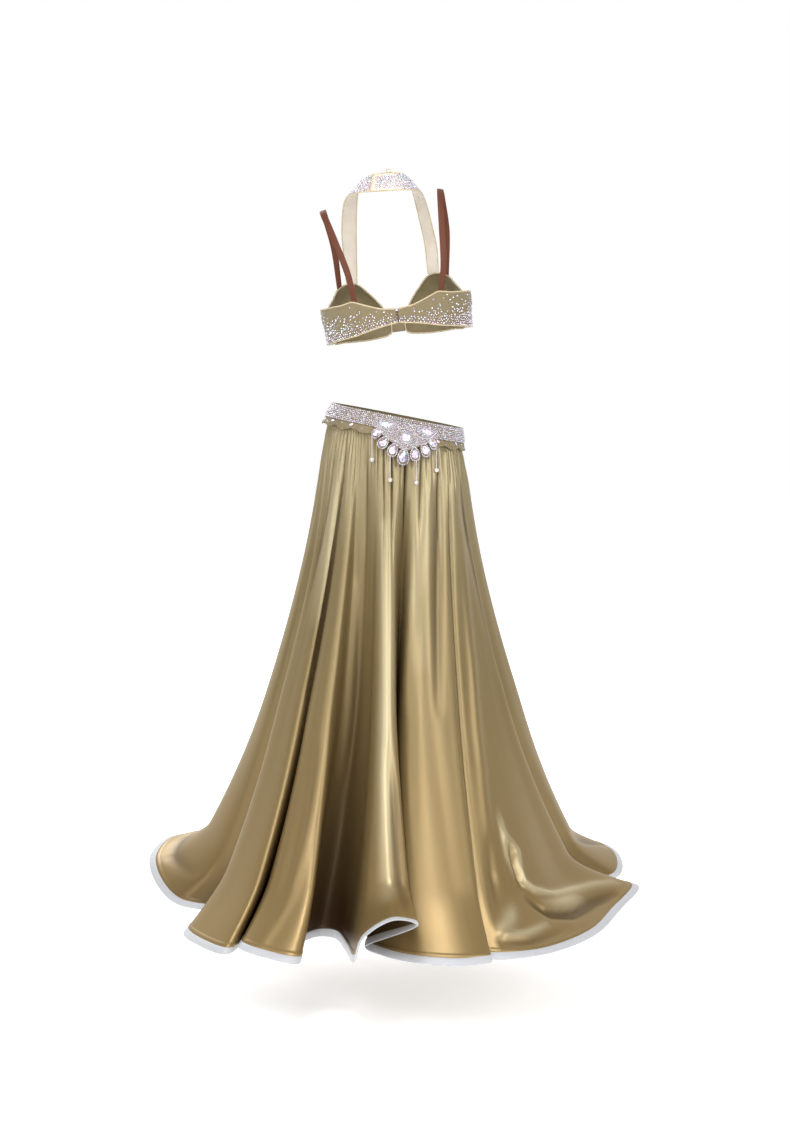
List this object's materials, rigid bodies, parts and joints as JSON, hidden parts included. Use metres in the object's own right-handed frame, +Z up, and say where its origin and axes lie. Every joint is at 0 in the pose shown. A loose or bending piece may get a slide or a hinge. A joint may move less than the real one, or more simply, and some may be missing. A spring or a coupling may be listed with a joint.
{
  "type": "belly dance costume of a halter bra top and a flared skirt on a stoned hip belt",
  "caption": "Two-piece belly dance costume: stoned halter bra top, stoned hip belt with a raised motif, long flared satin skirt with deep folds and a stiff braided hem.",
  "frame": {"origin": "centre of the belt's top ring, where the wearer's hips hold the skirt", "axes": "+Z up, -Y the wearer's front, +X the wearer's left"},
  "size_m": [0.9052, 0.9114, 1.3427],
  "materials": {
    "satin": "champagne gold satin with a soft bright sheen",
    "horsehair": "pale grey-white stiff braid",
    "nude_stretch": "matt nude stretch cloth",
    "stoned_cloth": "nude cloth set close with iridescent crystals",
    "crystal": "cut iridescent crystal with a foiled back",
    "pearl": "pearl beads",
    "elastic": "brown strap elastic",
    "hook_metal": "bright nickel"
  },
  "bodies": {
    "root": {"skirt_back": "satin", "skirt_right": "satin", "skirt_front_right": "satin", "skirt_front_left": "satin", "skirt_left": "satin", "skirt_back_left": "satin", "braid_back": "horsehair", "braid_right": "horsehair", "braid_front_right": "horsehair", "braid_front_left": "horsehair", "braid_left": "horsehair", "braid_back_left": "horsehair", "belt_yoke_back": "nude_stretch", "belt_yoke_front": "nude_stretch", "belt_band_back": "stoned_cloth", "belt_band_front": "stoned_cloth", "belt_applique": "crystal", "bead_drop_1": "pearl", "bead_drop_2": "pearl", "bead_drop_3": "pearl", "bead_drop_4": "pearl", "wing_left": "nude_stretch", "wing_right": "nude_stretch", "cup_left": "nude_stretch", "cup_right": "nude_stretch", "bridge": "nude_stretch", "strap_left": "elastic", "strap_right": "elastic", "halter_left": "stoned_cloth", "halter_right": "stoned_cloth", "halter_loop": "nude_stretch", "clasp_hook": "hook_metal"}
  },
  "joints": []
}
